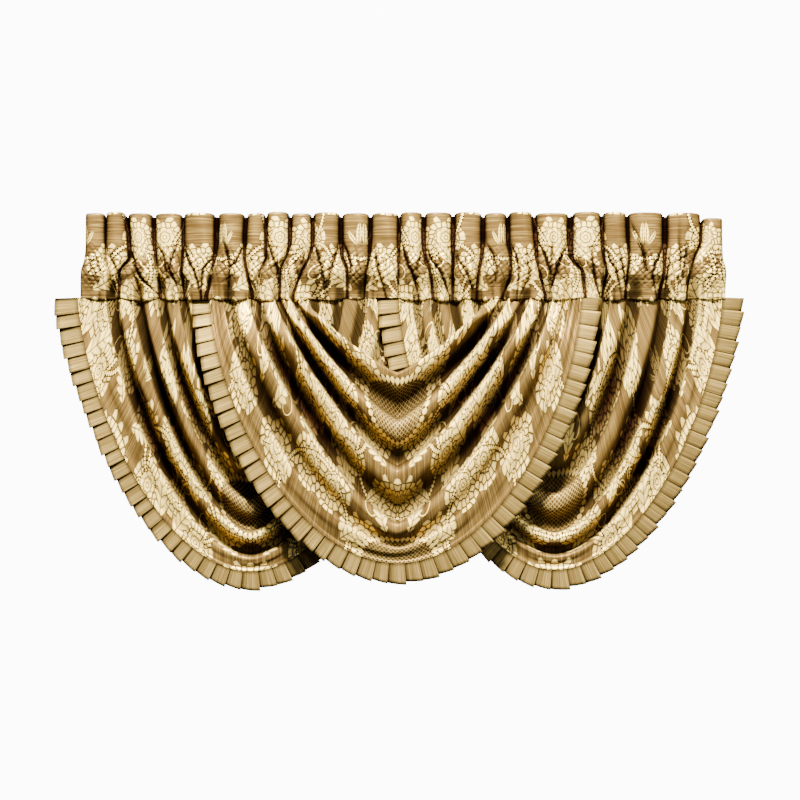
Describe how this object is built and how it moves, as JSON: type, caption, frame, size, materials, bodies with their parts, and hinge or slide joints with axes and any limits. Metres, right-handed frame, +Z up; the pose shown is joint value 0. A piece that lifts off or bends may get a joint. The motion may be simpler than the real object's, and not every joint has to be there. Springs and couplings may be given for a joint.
{
  "type": "waterfall swag valance",
  "caption": "Gathered window valance: overlapping draped swags edged with knife-pleated trim, hung from a heading with a rod pocket.",
  "frame": {"origin": "the middle of the heading's top edge, straight above the centre line of the rod pocket", "axes": "+X along the rod to the viewer's right, +Y towards the wall, +Z up"},
  "size_m": [1.2444, 0.1, 0.6812],
  "materials": {
    "heading_jacquard": "cream and gold woven jacquard with a soft sheen",
    "swag_jacquard": "cream and gold woven jacquard with a soft sheen",
    "trim_ribbed_cloth": "plain gold cloth with fine ribs, in pressed knife pleats"
  },
  "bodies": {
    "root": {"heading": "heading_jacquard", "swag_left": "swag_jacquard", "swag_right": "swag_jacquard", "swag_centre": "swag_jacquard", "trim_left": "trim_ribbed_cloth", "trim_right": "trim_ribbed_cloth", "trim_centre": "trim_ribbed_cloth"}
  },
  "joints": []
}
